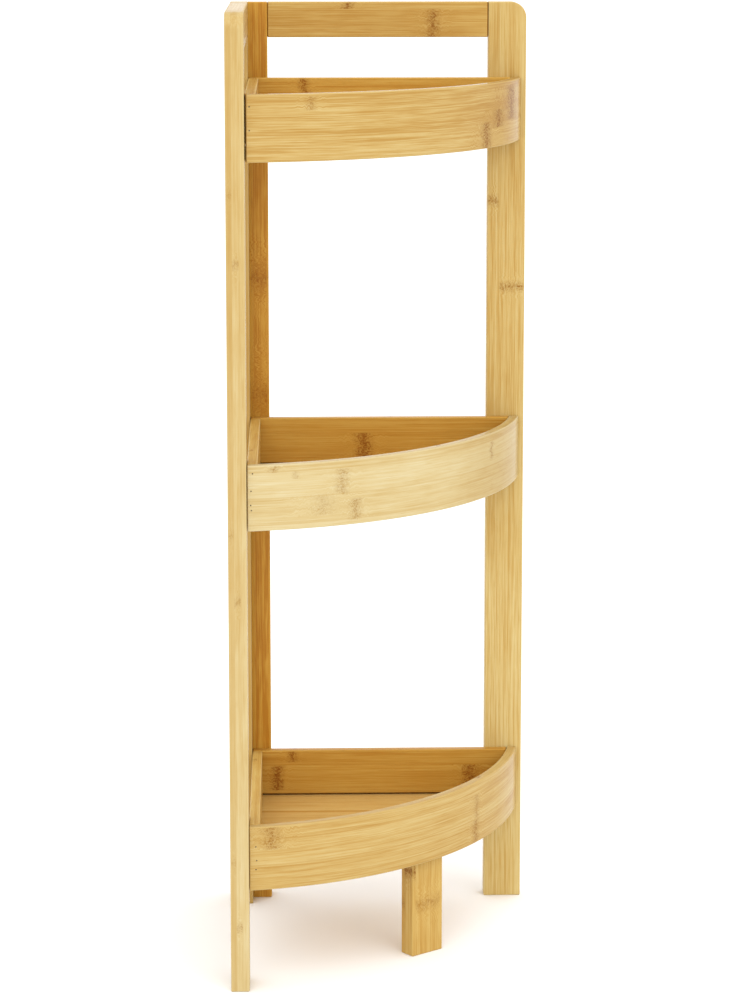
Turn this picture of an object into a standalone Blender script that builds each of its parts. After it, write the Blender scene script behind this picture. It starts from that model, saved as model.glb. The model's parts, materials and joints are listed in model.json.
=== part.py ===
"""Three-tier corner shelf in laminated bamboo: two wall frames, three quarter-round trays, one leg.

Metres, +Z up. The shelf stands on Z = 0 with the middle of its plan over the origin. Inside the
script every length is measured from the wall corner: X runs right along the back wall, and -Y runs
forward along the side wall.
"""
import math

import bmesh
import bpy
from mathutils import Vector

# Overall size
HEIGHT = 0.790
WIDTH = 0.252
DEPTH = 0.252

# Frames
STOCK_THICKNESS = 0.015
UPRIGHT_WIDTH = 0.0325
CORNER_STRIP_WIDTH = 0.0162
TOP_RAIL_HEIGHT = 0.030
TOP_CORNER_RADIUS = 0.0135
TENON_LENGTH = 0.009
TENON_SHOULDER = 0.004

# Trays
RIM_HEIGHTS = {"upper": 0.7263, "middle": 0.4333, "lower": 0.1368}
BAND_HEIGHT = 0.0532
FLOOR_THICKNESS = 0.0125
FLOOR_SHADOW_GAP = 0.0015
RAIL_THICKNESS = 0.0085
CURVED_RAIL_THICKNESS = 0.008
CURVE_RADIUS = 0.277
CURVE_INSET = 0.0044
CURVE_END_GAP = 0.0009

# Centre leg: how far its outer face stands inside the curved rail's outer face, and its turn
LEG_SETBACK = 0.009
LEG_TURN = math.radians(37.2)

# Fasteners
SCREW_SHANK_RADIUS = 0.00175
SCREW_HEAD_RADIUS = 0.0035
SCREW_HEAD_HEIGHT = 0.0025
SCREW_BITE = 0.0065
LEG_SCREW_BITE = 0.0225
SCREW_SIDES = 12
SCREW_CLEARANCE = 0.0003
BRAD_SHANK_RADIUS = 0.0006
BRAD_HEAD_RADIUS = 0.0007
BRAD_HEAD_HEIGHT = 0.0008
BRAD_BITE = 0.009
BRAD_SIDES = 8
BRAD_CLEARANCE = 0.0002
HEAD_RIM = 0.15  # straight rim of a countersunk head, as a share of its height
HEAD_SINK = 0.0003

# Where the fasteners go
REAR_SCREW_MARGIN = 0.0007
CORNER_SCREW_MARGIN = 0.0012
OUTER_SCREW_INSET = 0.007
LEG_SCREW_SPACING = 0.016
# Brads at the left end of each curved rail: distance from the side rail's outer face, drop from the rim
LEFT_BRADS = {
    "upper": ((0.0037, 0.0095), (0.0037, 0.0280)),
    "middle": ((0.0045, 0.0065), (0.0033, 0.0205), (0.0029, 0.0320), (0.0035, 0.0362)),
    "lower": ((0.0053, 0.0165), (0.0059, 0.0280), (0.0053, 0.0355)),
}
RIGHT_BRAD_DROPS = (0.011, 0.029)

# Finish
GAP = 0.0003
EDGE_EASE = 0.0008
ARC_STEPS = 24
CORNER_STEPS = 6

# Derived
RAIL_HEIGHT = BAND_HEIGHT - FLOOR_THICKNESS - FLOOR_SHADOW_GAP
CURVE_INNER_RADIUS = CURVE_RADIUS - CURVED_RAIL_THICKNESS
CURVE_LEFT_END = Vector((STOCK_THICKNESS, CURVE_INSET - DEPTH))
CURVE_RIGHT_END = Vector((WIDTH - CURVE_INSET, -STOCK_THICKNESS))
CHORD = CURVE_RIGHT_END - CURVE_LEFT_END
# The curved rail's middle looks this way: square to the line between its ends
OUTWARD = Vector((CHORD.y, -CHORD.x)).normalized()
CENTRE_DISTANCE = math.sqrt(CURVE_RADIUS ** 2 - (CHORD.length / 2) ** 2)
CENTRE = (CURVE_LEFT_END + CURVE_RIGHT_END) / 2 - OUTWARD * CENTRE_DISTANCE


def linear(red, green, blue):
    """Linear colour of an 8-bit sRGB colour."""
    def channel(value):
        value = value / 255
        if value <= 0.04045:
            return value / 12.92
        return ((value + 0.055) / 1.055) ** 2.4
    return (channel(red), channel(green), channel(blue), 1.0)


def material(name, colour, roughness, metallic=0.0):
    made = bpy.data.materials.new(name)
    made.use_nodes = True
    shader = made.node_tree.nodes["Principled BSDF"]
    shader.inputs["Base Color"].default_value = colour
    shader.inputs["Roughness"].default_value = roughness
    shader.inputs["Metallic"].default_value = metallic
    made.diffuse_color = colour
    return made


def clear_scene():
    for item in list(bpy.data.objects):
        bpy.data.objects.remove(item, do_unlink=True)


def empty(name, location, rotation=(0, 0, 0), parent=None):
    made = bpy.data.objects.new(name, None)
    bpy.context.scene.collection.objects.link(made)
    made.location = location
    made.rotation_euler = rotation
    made.parent = parent
    return made


def add_object(name, mesh, parent, location, rotation=(0, 0, 0), look=None):
    made = bpy.data.objects.new(name, mesh)
    bpy.context.scene.collection.objects.link(made)
    made.parent = parent
    made.location = location
    made.rotation_euler = rotation
    if look is not None and not mesh.materials:
        mesh.materials.append(look)
    return made


def prism(outline, height):
    """Mesh data of an outline in X and Y, drawn anticlockwise, raised from 0 to height."""
    shape = bmesh.new()
    corners = [shape.verts.new((x, y, 0)) for x, y in outline]
    base = shape.faces.new(corners)
    base.normal_flip()
    raised = bmesh.ops.extrude_face_region(shape, geom=[base], use_keep_orig=True)
    top = [item for item in raised["geom"] if isinstance(item, bmesh.types.BMVert)]
    bmesh.ops.translate(shape, verts=top, vec=(0, 0, height))
    bmesh.ops.recalc_face_normals(shape, faces=shape.faces)
    return shape


def ease_edges(shape):
    """Chamfer the edges of a bmesh that are sharper than 40 degrees."""
    sharp = [edge for edge in shape.edges if edge.calc_face_angle(0) > math.radians(40)]
    bmesh.ops.bevel(
        shape,
        geom=sharp,
        offset=EDGE_EASE,
        offset_type="OFFSET",
        segments=1,
        affect="EDGES",
        clamp_overlap=True,
    )


def add_tenon(shape, direction):
    """Raise a stub tenon, with a shoulder all round, from the end face that looks along direction."""
    end = max(shape.faces, key=lambda face: face.normal.dot(direction) * face.calc_area())
    bmesh.ops.inset_individual(
        shape, faces=[end], thickness=TENON_SHOULDER, use_even_offset=True)
    raised = bmesh.ops.extrude_discrete_faces(shape, faces=[end])
    tip = raised["faces"][0]
    bmesh.ops.translate(shape, verts=tip.verts, vec=direction * TENON_LENGTH)


def finish_mesh(shape, name):
    mesh = bpy.data.meshes.new(name)
    shape.to_mesh(mesh)
    shape.free()
    mesh.shade_smooth()
    mesh.set_sharp_from_angle(angle=math.radians(30))
    return mesh


def board(name, outline, height, parent, location, look, rotation=(0, 0, 0)):
    shape = prism(outline, height)
    ease_edges(shape)
    return add_object(name, finish_mesh(shape, name), parent, location, rotation, look)


def rectangle(x0, y0, x1, y1):
    return [(x0, y0), (x1, y0), (x1, y1), (x0, y1)]


def upright_outline(width, rounded):
    """An upright seen flat on, foot at 0, with its outer top corner rounded where asked."""
    if not rounded:
        return rectangle(0, 0, width, HEIGHT)
    points = [(0, 0), (width, 0)]
    middle = (width - TOP_CORNER_RADIUS, HEIGHT - TOP_CORNER_RADIUS)
    for step in range(CORNER_STEPS + 1):
        turn = math.pi / 2 * step / CORNER_STEPS
        points.append((
            middle[0] + TOP_CORNER_RADIUS * math.cos(turn),
            middle[1] + TOP_CORNER_RADIUS * math.sin(turn),
        ))
    points.append((0, HEIGHT))
    return points


def cut(target, cutter):
    modifier = target.modifiers.new("cut_" + cutter.name, "BOOLEAN")
    modifier.operation = "DIFFERENCE"
    modifier.solver = "EXACT"
    modifier.object = cutter


def hide_cutter(cutter):
    cutter.hide_render = True
    cutter.display_type = "WIRE"


def mortise(upright, parent, name, start, length):
    """Cut the pocket for a tenon: start and length run along the frame, from the wall corner."""
    shoulder = TENON_SHOULDER + EDGE_EASE - GAP
    bottom = HEIGHT - TOP_RAIL_HEIGHT + shoulder
    top = HEIGHT - shoulder
    shape = prism(rectangle(0, bottom, length, top), STOCK_THICKNESS - 2 * shoulder)
    mesh = bpy.data.meshes.new(name)
    shape.to_mesh(mesh)
    shape.free()
    cutter = add_object(name, mesh, parent, (start, 0, shoulder))
    hide_cutter(cutter)
    cut(upright, cutter)


def top_rail(name, parent, start, end, look):
    """A frame's top rail between two uprights, with a tenon at each end."""
    length = end - start - 2 * GAP
    shape = prism(rectangle(0, 0, length, TOP_RAIL_HEIGHT), STOCK_THICKNESS)
    ease_edges(shape)
    add_tenon(shape, Vector((-1, 0, 0)))
    add_tenon(shape, Vector((1, 0, 0)))
    mesh = finish_mesh(shape, name)
    return add_object(name, mesh, parent, (start + GAP, HEIGHT - TOP_RAIL_HEIGHT, 0), look=look)


def frame(name, parent, inner_start, inner_width, reach, names, looks):
    """Two uprights and a top rail in the parent's own plane: X away from the corner, Y up."""
    inner_name, outer_name, rail_name = names
    inner_end = inner_start + inner_width
    outer_start = reach - UPRIGHT_WIDTH
    inner = board(
        inner_name, upright_outline(inner_width, False), STOCK_THICKNESS,
        parent, (inner_start, 0, 0), looks[0])
    outer = board(
        outer_name, upright_outline(UPRIGHT_WIDTH, True), STOCK_THICKNESS,
        parent, (outer_start, 0, 0), looks[1])
    top_rail(rail_name, parent, inner_end, outer_start, looks[2])
    pocket = TENON_LENGTH + GAP
    mortise(inner, parent, name + "_inner_mortise", inner_end - pocket, pocket + GAP)
    mortise(outer, parent, name + "_outer_mortise", outer_start - GAP, pocket + GAP)
    return inner, outer


def arc_x(radius, y):
    """X where a circle about the curve's centre crosses a line of constant Y."""
    return CENTRE.x + math.sqrt(radius ** 2 - (y - CENTRE.y) ** 2)


def arc_y(radius, x):
    """Y where a circle about the curve's centre crosses a line of constant X."""
    return CENTRE.y - math.sqrt(radius ** 2 - (x - CENTRE.x) ** 2)


def arc_points(radius, left, rear):
    """The arc from the line X = left, round the front, to the line Y = rear."""
    first = math.atan2(arc_y(radius, left) - CENTRE.y, left - CENTRE.x)
    last = math.atan2(rear - CENTRE.y, arc_x(radius, rear) - CENTRE.x)
    points = []
    for step in range(ARC_STEPS + 1):
        turn = first + (last - first) * step / ARC_STEPS
        points.append((CENTRE.x + radius * math.cos(turn), CENTRE.y + radius * math.sin(turn)))
    return points


def tray(level, rim, corner, looks):
    """One tray: back rail, side rail, curved rail and floor. Returns them by name."""
    name = level + "_tray_"
    wall = STOCK_THICKNESS + GAP
    rail_face = wall + RAIL_THICKNESS
    rail_foot = rim - RAIL_HEIGHT
    band_foot = rim - BAND_HEIGHT
    limit = CURVE_INNER_RADIUS - GAP

    back = board(
        name + "back_rail",
        [
            (wall, -rail_face),
            (arc_x(limit, -rail_face), -rail_face),
            (arc_x(limit, -wall), -wall),
            (wall, -wall),
        ],
        RAIL_HEIGHT, corner, (0, 0, rail_foot), looks["back"])
    side = board(
        name + "side_rail",
        [
            (wall, -rail_face - GAP),
            (wall, arc_y(limit, wall)),
            (rail_face, arc_y(limit, rail_face)),
            (rail_face, -rail_face - GAP),
        ],
        RAIL_HEIGHT, corner, (0, 0, rail_foot), looks["side"])
    left = STOCK_THICKNESS + CURVE_END_GAP
    outer = arc_points(CURVE_RADIUS, left, -wall)
    inner = arc_points(CURVE_INNER_RADIUS, left, -wall)
    curved = board(
        name + "curved_rail", outer + inner[::-1],
        BAND_HEIGHT, corner, (0, 0, band_foot), looks["curved"])
    floor = board(
        name + "floor", arc_points(limit, wall, -wall) + [(wall, -wall)],
        FLOOR_THICKNESS, corner, (0, 0, band_foot), looks["floor"])
    return {"back": back, "side": side, "curved": curved, "floor": floor}


def turned(profile, sides):
    """Closed solid of revolution about Z from (radius, z) pairs that start and end on the axis."""
    shape = bmesh.new()
    rings = []
    for radius, z in profile:
        if radius == 0:
            rings.append([shape.verts.new((0, 0, z))])
            continue
        ring = []
        for side in range(sides):
            turn = 2 * math.pi * side / sides
            ring.append(shape.verts.new((radius * math.cos(turn), radius * math.sin(turn), z)))
        rings.append(ring)
    for below, above in zip(rings, rings[1:]):
        for side in range(sides):
            after = (side + 1) % sides
            loop = [below[side % len(below)], below[after % len(below)]]
            loop += [above[after % len(above)], above[side % len(above)]]
            shape.faces.new(list(dict.fromkeys(loop)))
    bmesh.ops.recalc_face_normals(shape, faces=shape.faces)
    return shape


def fastener_mesh(name, size, look):
    """Countersunk head at Z = 0, point at Z = length."""
    point = 2 * size["shank"]
    shape = turned(
        [
            (0, 0),
            (size["head"], 0),
            (size["head"], size["head_height"] * HEAD_RIM),
            (size["shank"], size["head_height"]),
            (size["shank"], size["length"] - point),
            (0, size["length"]),
        ],
        size["sides"])
    mesh = finish_mesh(shape, name)
    mesh.materials.append(look)
    return mesh


def hole_mesh(name, size):
    """The hole for a fastener: its shape and the clearance, open above the head."""
    clearance = size["clearance"]
    above = -4 * HEAD_SINK
    shape = turned(
        [
            (0, above),
            (size["head"] + clearance, above),
            (size["head"] + clearance, size["head_height"] * HEAD_RIM + clearance),
            (size["shank"] + clearance, size["head_height"] + clearance),
            (size["shank"] + clearance, size["length"] + clearance),
            (0, size["length"] + clearance),
        ],
        size["sides"])
    mesh = bpy.data.meshes.new(name)
    shape.to_mesh(mesh)
    shape.free()
    return mesh


INTO_RIGHT = (0, math.pi / 2, 0)
INTO_LEFT = (0, -math.pi / 2, 0)
INTO_FRONT = (math.pi / 2, 0, 0)
INTO_BACK = (-math.pi / 2, 0, 0)
INTO_FLOOR = (math.pi, 0, 0)


def drive(name, kind, location, heading, corner, boards):
    """Set one fastener with its head at location and cut its hole in the boards it passes through."""
    add_object(name, kind["mesh"], corner, location, heading)
    cutter = add_object(name + "_hole", kind["hole"], corner, location, heading)
    hide_cutter(cutter)
    for target in boards:
        cut(target, cutter)


def drive_tray_screws(level, rim, corner, kind, uprights, pieces):
    """Each upright takes one screw into the rail beside it and one into the floor's edge."""
    rail_z = rim - RAIL_HEIGHT / 2
    floor_z = rim - BAND_HEIGHT + FLOOR_THICKNESS / 2
    left_front, left_rear, back_corner, back_right = uprights
    # The rear screw's head keeps inside the upright's edge, and its shank inside the rail's end
    side_rail_start = STOCK_THICKNESS + 2 * GAP + RAIL_THICKNESS
    shank_room = SCREW_SHANK_RADIUS + SCREW_CLEARANCE + EDGE_EASE
    rear = max(
        UPRIGHT_WIDTH - SCREW_HEAD_RADIUS - REAR_SCREW_MARGIN, side_rail_start + shank_room)
    corner_strip_end = STOCK_THICKNESS + GAP + CORNER_STRIP_WIDTH
    inner = corner_strip_end - SCREW_HEAD_RADIUS - CORNER_SCREW_MARGIN
    front = DEPTH - UPRIGHT_WIDTH + OUTER_SCREW_INSET
    right = WIDTH - UPRIGHT_WIDTH + OUTER_SCREW_INSET
    places = (
        (left_rear, (HEAD_SINK, -rear), INTO_RIGHT, "side"),
        (left_front, (HEAD_SINK, -front), INTO_RIGHT, "side"),
        (back_corner, (inner, -HEAD_SINK), INTO_FRONT, "back"),
        (back_right, (right, -HEAD_SINK), INTO_FRONT, "back"),
    )
    number = 1
    for upright, (x, y), heading, rail in places:
        for z, target in ((rail_z, pieces[rail]), (floor_z, pieces["floor"])):
            name = f"{level}_tray_screw_{number}"
            drive(name, kind, (x, y, z), heading, corner, (upright, target))
            number += 1


def drive_tray_brads(level, rim, corner, kind, pieces):
    """Brads through both ends of the curved rail into the ends of the straight rails."""
    number = 1
    for offset, drop in LEFT_BRADS[level]:
        x = STOCK_THICKNESS + GAP + offset
        place = (x, arc_y(CURVE_RADIUS, x) + HEAD_SINK, rim - drop)
        name = f"{level}_tray_brad_{number}"
        drive(name, kind, place, INTO_BACK, corner, (pieces["curved"], pieces["side"]))
        number += 1
    y = -STOCK_THICKNESS - GAP - RAIL_THICKNESS / 2
    for drop in RIGHT_BRAD_DROPS:
        place = (arc_x(CURVE_RADIUS, y) - HEAD_SINK, y, rim - drop)
        name = f"{level}_tray_brad_{number}"
        drive(name, kind, place, INTO_LEFT, corner, (pieces["curved"], pieces["back"]))
        number += 1


def centre_leg(corner, kind, floor, look):
    """The short leg under the lower floor, set square to a line LEG_TURN from straight ahead."""
    underside = RIM_HEIGHTS["lower"] - BAND_HEIGHT
    outward = Vector((math.sin(LEG_TURN), -math.cos(LEG_TURN), 0))
    along = Vector((math.cos(LEG_TURN), math.sin(LEG_TURN), 0))
    face = (CENTRE + OUTWARD * (CURVE_RADIUS - LEG_SETBACK)).to_3d()
    middle = face - outward * STOCK_THICKNESS / 2
    half = UPRIGHT_WIDTH / 2
    leg = board(
        "centre_leg",
        rectangle(-half, -STOCK_THICKNESS / 2, half, STOCK_THICKNESS / 2),
        underside - GAP, corner, middle, look, (0, 0, LEG_TURN))
    for number, side in ((1, -0.5), (2, 0.5)):
        place = middle + along * LEG_SCREW_SPACING * side
        place.z = underside + FLOOR_THICKNESS - HEAD_SINK
        drive(f"leg_screw_{number}", kind, place, INTO_FLOOR, corner, (floor, leg))


def screw_size(length):
    return {
        "shank": SCREW_SHANK_RADIUS,
        "head": SCREW_HEAD_RADIUS,
        "head_height": SCREW_HEAD_HEIGHT,
        "length": length,
        "sides": SCREW_SIDES,
        "clearance": SCREW_CLEARANCE,
    }


def brad_size(length):
    return {
        "shank": BRAD_SHANK_RADIUS,
        "head": BRAD_HEAD_RADIUS,
        "head_height": BRAD_HEAD_HEIGHT,
        "length": length,
        "sides": BRAD_SIDES,
        "clearance": BRAD_CLEARANCE,
    }


def fastener_kind(name, size, look):
    return {
        "mesh": fastener_mesh(name, size, look),
        "hole": hole_mesh(name + "_hole", size),
    }


def main():
    clear_scene()
    pale = material("bamboo_pale", linear(230, 200, 142), 0.45)
    light = material("bamboo_light", linear(226, 196, 138), 0.45)
    honey = material("bamboo_honey", linear(217, 177, 101), 0.45)
    amber = material("bamboo_amber", linear(206, 160, 86), 0.48)
    tan = material("bamboo_tan", linear(197, 150, 80), 0.5)
    steel = material("screw_steel", linear(168, 160, 146), 0.35, 1.0)

    screw = fastener_kind("screw", screw_size(STOCK_THICKNESS + SCREW_BITE), steel)
    leg_screw = fastener_kind("long_screw", screw_size(FLOOR_THICKNESS + LEG_SCREW_BITE), steel)
    brad = fastener_kind("brad", brad_size(CURVED_RAIL_THICKNESS + BRAD_BITE), steel)

    corner = empty("wall_corner", (-WIDTH / 2, DEPTH / 2, 0))
    left_plane = empty(
        "left_frame", (STOCK_THICKNESS, 0, 0), (math.pi / 2, 0, -math.pi / 2), corner)
    back_plane = empty("back_frame", (0, 0, 0), (math.pi / 2, 0, 0), corner)

    left_rear, left_front = frame(
        "left_frame", left_plane, 0, UPRIGHT_WIDTH, DEPTH,
        ("left_rear_upright", "left_front_upright", "left_top_rail"), (honey, light, honey))
    back_corner, back_right = frame(
        "back_frame", back_plane, STOCK_THICKNESS + GAP, CORNER_STRIP_WIDTH, WIDTH,
        ("back_corner_upright", "back_right_upright", "back_top_rail"), (tan, amber, amber))
    uprights = (left_front, left_rear, back_corner, back_right)

    band_looks = {"upper": honey, "middle": pale, "lower": honey}
    for level, rim in RIM_HEIGHTS.items():
        looks = {"back": tan, "side": honey, "curved": band_looks[level], "floor": amber}
        pieces = tray(level, rim, corner, looks)
        drive_tray_screws(level, rim, corner, screw, uprights, pieces)
        drive_tray_brads(level, rim, corner, brad, pieces)
        if level == "lower":
            centre_leg(corner, leg_screw, pieces["floor"], amber)


main()
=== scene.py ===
"""Three-tier bamboo corner caddy: bamboo boards, screws and brads, and a plain studio stage."""

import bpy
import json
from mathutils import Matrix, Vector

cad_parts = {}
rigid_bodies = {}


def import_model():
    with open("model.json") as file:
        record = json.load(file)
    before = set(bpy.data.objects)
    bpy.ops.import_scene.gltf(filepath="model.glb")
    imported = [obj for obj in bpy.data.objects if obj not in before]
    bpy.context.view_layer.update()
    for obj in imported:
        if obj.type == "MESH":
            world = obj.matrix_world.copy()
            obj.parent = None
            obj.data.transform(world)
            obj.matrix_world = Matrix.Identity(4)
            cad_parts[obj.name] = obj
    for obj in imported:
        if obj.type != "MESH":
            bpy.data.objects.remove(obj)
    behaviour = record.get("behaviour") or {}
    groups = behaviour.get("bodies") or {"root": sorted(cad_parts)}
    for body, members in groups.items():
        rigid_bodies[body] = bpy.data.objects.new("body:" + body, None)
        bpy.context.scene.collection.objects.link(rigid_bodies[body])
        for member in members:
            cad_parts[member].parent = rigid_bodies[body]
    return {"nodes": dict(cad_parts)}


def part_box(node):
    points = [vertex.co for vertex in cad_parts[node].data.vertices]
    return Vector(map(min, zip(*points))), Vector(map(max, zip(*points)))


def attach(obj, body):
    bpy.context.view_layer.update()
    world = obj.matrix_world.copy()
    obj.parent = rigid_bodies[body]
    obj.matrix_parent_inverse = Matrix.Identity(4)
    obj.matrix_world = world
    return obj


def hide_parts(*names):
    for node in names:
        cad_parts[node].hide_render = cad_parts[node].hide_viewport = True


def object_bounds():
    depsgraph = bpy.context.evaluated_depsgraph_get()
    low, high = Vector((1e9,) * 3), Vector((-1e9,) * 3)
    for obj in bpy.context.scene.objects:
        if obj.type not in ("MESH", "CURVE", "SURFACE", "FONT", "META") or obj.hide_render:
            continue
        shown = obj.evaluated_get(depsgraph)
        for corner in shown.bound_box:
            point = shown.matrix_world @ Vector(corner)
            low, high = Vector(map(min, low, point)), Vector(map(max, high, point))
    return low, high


bl_info = {
    "name": "Bamboo Corner Caddy",
    "version": (1, 0, 0),
    "blender": (4, 5, 0),
    "location": "3D Viewport > Sidebar > Caddy",
    "description": "Builds the boards, fasteners and stage of a three-tier bamboo corner caddy",
    "category": "Object",
}

import json
import math

import bmesh
import bpy
from mathutils import Matrix, Vector

for leftover in list(bpy.data.objects):
    bpy.data.objects.remove(leftover, do_unlink=True)
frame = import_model()
CAD_LOW, CAD_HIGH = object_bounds()

# The wall corner that the boards are measured from
CORNER = Vector((CAD_LOW.x, CAD_HIGH.y, 0.0))
HEIGHT = CAD_HIGH.z
WIDTH = CAD_HIGH.x - CAD_LOW.x
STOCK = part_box("left_front_upright")[1].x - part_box("left_front_upright")[0].x
UPRIGHT_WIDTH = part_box("left_front_upright")[1].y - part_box("left_front_upright")[0].y
TOP_RAIL_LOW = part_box("back_top_rail")[0].z
TOP_CORNER_RADIUS = 0.0135
TENON_SHOULDER = 0.004
TENON_LENGTH = 0.009
MORTISE_ROOM = 0.0006
GAP = 0.0003
# The corner strip and the back top rail's left shoulder press this far against their neighbours
STRIP_PRESS = 0.00025
SHOULDER_PRESS = 0.00022
LEG_TURN = math.radians(37.2)
# Points nearer than this are one point, when a cut has left slivers
CLEAN = 0.000004
# How near a point counts as lying on a face, and a fastener as reaching a board
NEAR = 0.0001
TOUCH = 0.0005
LEVELS = ("upper", "middle", "lower")

# Flats round an upright's top corner, at a rail's fitted end and round the studio floor
CORNER_STEPS = 16
END_STEPS = 6
FLOOR_SIDES = 64

# The fasteners' seats, as deep as their heads, and the open mouth above each
SCREW_SEAT = 0.0025
BRAD_SEAT = 0.0008
BRAD_SHANK = 0.00045
MOUTH = 0.0012

# The curved rails' shared circle
CURVE_RADIUS = 0.277
CURVE_THICKNESS = 0.008
CURVE_INNER = CURVE_RADIUS - CURVE_THICKNESS


def circle_centre():
    """Centre of the curved rails: its distance from their left and right ends is the radius."""
    inset = 0.0044
    left = CORNER + Vector((STOCK, inset - WIDTH, 0))
    right = CORNER + Vector((WIDTH - inset, -STOCK, 0))
    chord = right - left
    outward = Vector((chord.y, -chord.x, 0)).normalized()
    rise = math.sqrt(CURVE_RADIUS ** 2 - (chord.length / 2) ** 2)
    return (left + right) / 2 - outward * rise


CENTRE = circle_centre()


def linear(code):
    """Linear colour of a six-digit screen colour."""
    channels = []
    for place in (0, 2, 4):
        value = int(code[place:place + 2], 16) / 255
        if value <= 0.04045:
            channels.append(value / 12.92)
        else:
            channels.append(((value + 0.055) / 1.055) ** 2.4)
    return tuple(channels)


# ---------------------------------------------------------------- settings

def size_setting(name, description, default, least, most, precision=4):
    """A length in metres that a user may change."""
    return bpy.props.FloatProperty(
        name=name, description=description, default=default, min=least, max=most,
        unit="LENGTH", precision=precision)


def tone_setting(name, description, default):
    """A colour that a user may change."""
    return bpy.props.FloatVectorProperty(
        name=name, description=description, default=default, subtype="COLOR", min=0, max=1)


def share_setting(name, description, default, most):
    """A strength or share that a user may change."""
    return bpy.props.FloatProperty(
        name=name, description=description, default=default, min=0, max=most, subtype="FACTOR")


class CaddyTimber(bpy.types.PropertyGroup):
    """Sizes of the boards' finish and the tones of the bamboo."""

    edge_round: size_setting(
        "Edge round", "Radius that the boards' edges are eased to", 0.001, 0.0002, 0.002)
    arc_steps: bpy.props.IntProperty(
        name="Arc steps", description="Flats along each curved rail",
        default=96, min=24, max=240)
    pale: tone_setting("Pale bamboo", "The palest curved rail", linear("bfab7b"))
    light: tone_setting("Light bamboo", "The front upright", linear("b99e65"))
    honey: tone_setting("Honey bamboo", "Curved rails and side rails", linear("b59658"))
    amber: tone_setting("Amber bamboo", "The back frame's right upright", linear("bb9d5d"))
    gold: tone_setting("Gold bamboo", "Back top rail, centre leg and tray floors", linear("b7934d"))
    tan: tone_setting("Tan bamboo", "Corner upright and back rails", linear("b48636"))
    # This colour also paints the shade at the joints and in the slot above a floor
    knuckle: tone_setting(
        "Knuckle stain", "How much of each colour is left in the dark fibres of a joint",
        (0.5, 0.32, 0.12))
    streaks: share_setting("Streaks", "Strength of the long streaks along the grain", 0.9, 2)
    relief: size_setting(
        "Grain relief", "Depth of the grain felt under the lacquer", 0.00003, 0, 0.001, 5)
    lacquer: share_setting("Lacquer", "Share of clear satin lacquer over the bamboo", 0.12, 1)


class CaddyHardware(bpy.types.PropertyGroup):
    """Sizes and colour of the screws and brads."""

    screw_head: size_setting(
        "Screw head radius", "Radius of the countersunk heads", 0.0035, 0.002, 0.006)
    screw_shank: size_setting(
        "Screw shank radius", "Radius of the screws below the head", 0.00175, 0.001, 0.003, 5)
    brad_head: size_setting(
        "Brad head radius", "Radius of the brads' heads", 0.00055, 0.0004, 0.0015, 5)
    steel: tone_setting("Steel", "Colour of the screws", linear("b4aea3"))
    brad_steel: tone_setting("Brad steel", "Colour of the brads", linear("6f6557"))


class CaddyStage(bpy.types.PropertyGroup):
    """Floor, lights and camera."""

    floor_radius: size_setting("Floor radius", "Radius of the pale studio floor", 70.0, 2, 200, 1)
    floor_tone: tone_setting("Floor", "Colour of the studio floor", (0.92, 0.92, 0.915))
    sky: share_setting("Room light", "Strength of the light from all round", 1.3, 5)
    key: share_setting("Key light", "Strength of the soft light from the front right", 1.2, 10)
    lens: bpy.props.FloatProperty(
        name="Lens", description="Focal length of the camera in millimetres",
        default=109.54, min=20, max=300)
    camera_place: bpy.props.FloatVectorProperty(
        name="Camera place", description="Where the camera stands",
        default=(-0.07287, -2.4896, 0.87649), subtype="TRANSLATION", unit="LENGTH")
    camera_pitch: bpy.props.FloatProperty(
        name="Camera pitch", description="How far the camera looks down",
        default=math.radians(8.99), subtype="ANGLE")
    camera_turn: bpy.props.FloatProperty(
        name="Camera turn", description="How far the camera is turned to the right",
        default=math.radians(1.54), subtype="ANGLE")
    camera_drop: share_setting(
        "Camera drop", "How far the view is shifted down, as a share of its height", 0.12, 0.2)


# ---------------------------------------------------------------- node bench

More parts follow.
